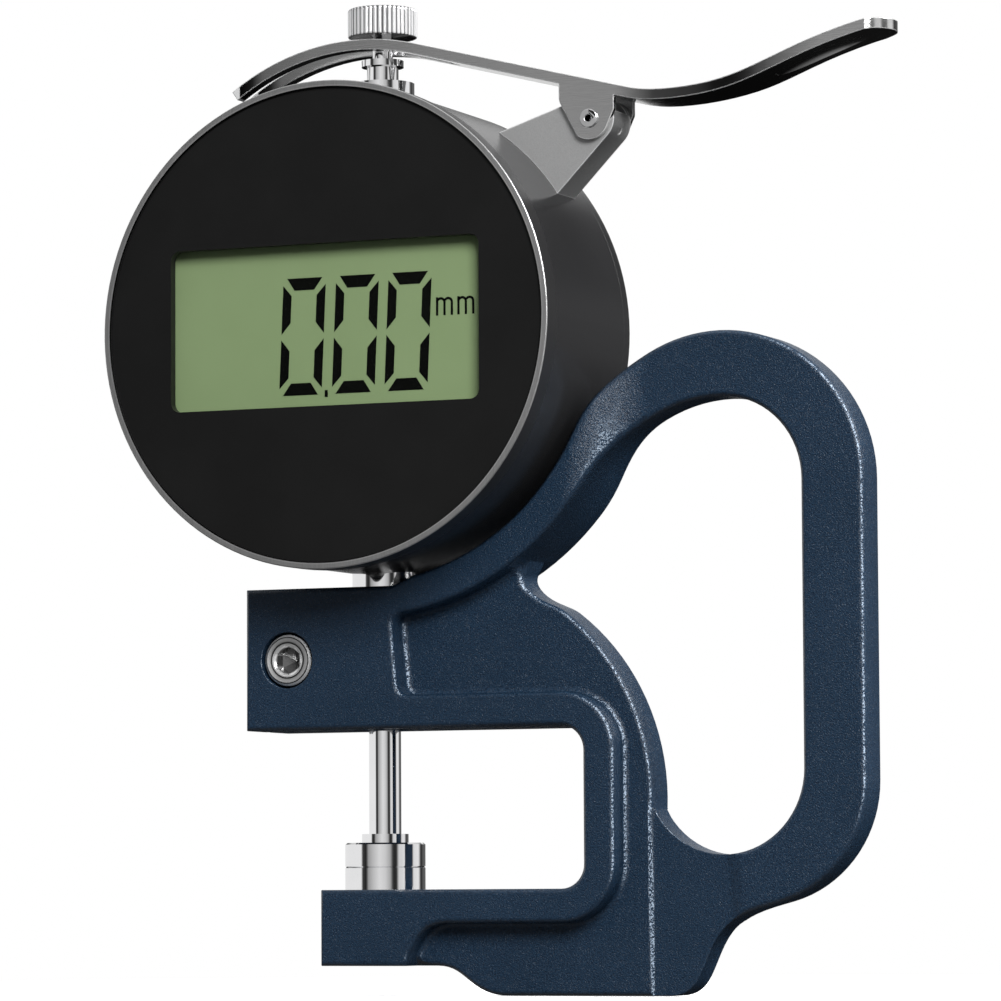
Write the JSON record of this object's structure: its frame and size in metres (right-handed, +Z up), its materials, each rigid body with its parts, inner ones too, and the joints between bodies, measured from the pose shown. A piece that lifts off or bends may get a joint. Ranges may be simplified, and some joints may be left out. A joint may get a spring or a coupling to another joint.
{
  "type": "digital thickness gauge",
  "caption": "Hand-held thickness gauge: cast C-frame with a loop handle, round digital indicator, flat contact on a flat anvil, thumb lever that lifts the spindle.",
  "frame": {"origin": "centre of the anvil's measuring face, where the reading is zero", "axes": "+Z up the spindle, +X from the spindle towards the handle, +Y from the display to the back cover"},
  "size_m": [0.0982, 0.0264, 0.1233],
  "materials": {
    "bezel_metal": "satin grey anodised",
    "board": "green solder mask",
    "brass": "turned brass",
    "case_metal": "dark grey semi-gloss enamel",
    "cast_frame": "blue powder coat, fine grain",
    "chrome": "polished hard chrome",
    "elastomer": "soft conductive strip",
    "face_black": "satin black",
    "hard_steel": "ground and lapped tool steel",
    "inner_plastic": "moulded black plastic",
    "lcd": "grey-green reflective display",
    "lens_clear": "clear",
    "spring_wire": "spring wire",
    "stainless": "satin stainless sheet",
    "zinc_steel": "plated screw steel"
  },
  "bodies": {
    "frame": {"frame_casting": "cast_frame", "anvil": "hard_steel", "clamp_screw": "zinc_steel", "stem": "hard_steel", "lower_bush": "brass", "upper_bush": "chrome", "case_shell": "case_metal", "bezel_ring": "bezel_metal", "face_panel": "face_black", "window_lens": "lens_clear", "display": "lcd", "display_holder": "inner_plastic", "contact_strips": "elastomer", "circuit_board": "board", "board_screws": "zinc_steel", "guide_post": "hard_steel", "spring_post": "zinc_steel", "return_spring": "spring_wire", "back_cover": "inner_plastic", "back_cover_screws": "zinc_steel", "battery": "zinc_steel", "battery_contact": "zinc_steel", "lever_bracket": "stainless", "bracket_screws": "zinc_steel", "lever_spring": "spring_wire"},
    "spindle": {"spindle": "hard_steel", "contact_point": "hard_steel", "lifting_knob": "chrome", "spindle_collar": "chrome", "scale_carrier": "inner_plastic", "scale_strip": "board", "carrier_screw": "zinc_steel"},
    "lever": {"lever": "chrome", "pivot_pin": "zinc_steel"},
    "battery_cap": {"battery_cap": "inner_plastic"}
  },
  "joints": [
    {"name": "spindle_lift", "type": "slide", "parent": "frame", "child": "spindle", "axis": [0, 0, 1], "range_m": [0, 0.0127], "stiffness_N_per_m": 40, "springref_m": -0.02, "deforming": ["return_spring"]},
    {"name": "lever_press", "type": "hinge", "parent": "frame", "child": "lever", "pos_m": [0.0295, 0, 0.0913], "axis": [0, 1, 0], "range_deg": [0, 22]},
    {"name": "battery_cap_turn", "type": "hinge", "parent": "frame", "child": "battery_cap", "pos_m": [0, 0.0085, 0.08], "axis": [0, -1, 0], "range_deg": [0, 60]}
  ],
  "couplings": [
    {"joint": "lever_press", "follows": "spindle_lift", "rad_per_m": 30}
  ]
}
